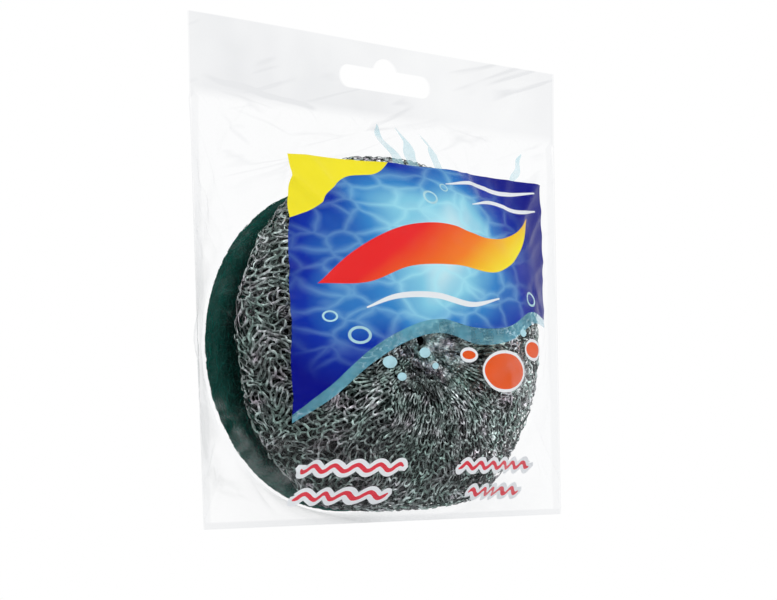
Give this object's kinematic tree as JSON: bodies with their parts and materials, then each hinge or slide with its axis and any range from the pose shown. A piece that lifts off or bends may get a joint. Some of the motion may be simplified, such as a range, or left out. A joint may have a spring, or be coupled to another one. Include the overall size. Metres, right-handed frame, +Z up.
{
  "type": "steel scrubber",
  "caption": "Bun of knitted steel mesh tied to a round green scouring pad, packed in a clear printed bag with a punched header that hangs on a peg and folds on its weld line.",
  "frame": {"origin": "middle of the hang slot, in the middle plane of the bag", "axes": "+Z up as the pack hangs, -Y out of the bag's printed front, +X to the right for someone who faces that front"},
  "size_m": [0.1276, 0.0498, 0.1243],
  "materials": {
    "clear_film": "gloss",
    "green_pad": "matte",
    "knitted_steel": "satin",
    "tie_wire": "satin"
  },
  "bodies": {
    "header": {"header_film": "clear_film"},
    "pouch": {"front_film": "clear_film", "rear_film": "clear_film", "scouring_pad": "green_pad", "outer_mesh_layer": "knitted_steel", "middle_mesh_layer": "knitted_steel", "core_mesh_roll": "knitted_steel", "neck_binding": "tie_wire", "pad_tie_wire": "tie_wire"}
  },
  "joints": [
    {"name": "header_fold", "type": "hinge", "parent": "header", "child": "pouch", "pos_m": [0, 0, -0.0102], "axis": [1, 0, 0], "range_deg": [-90, 90]}
  ]
}
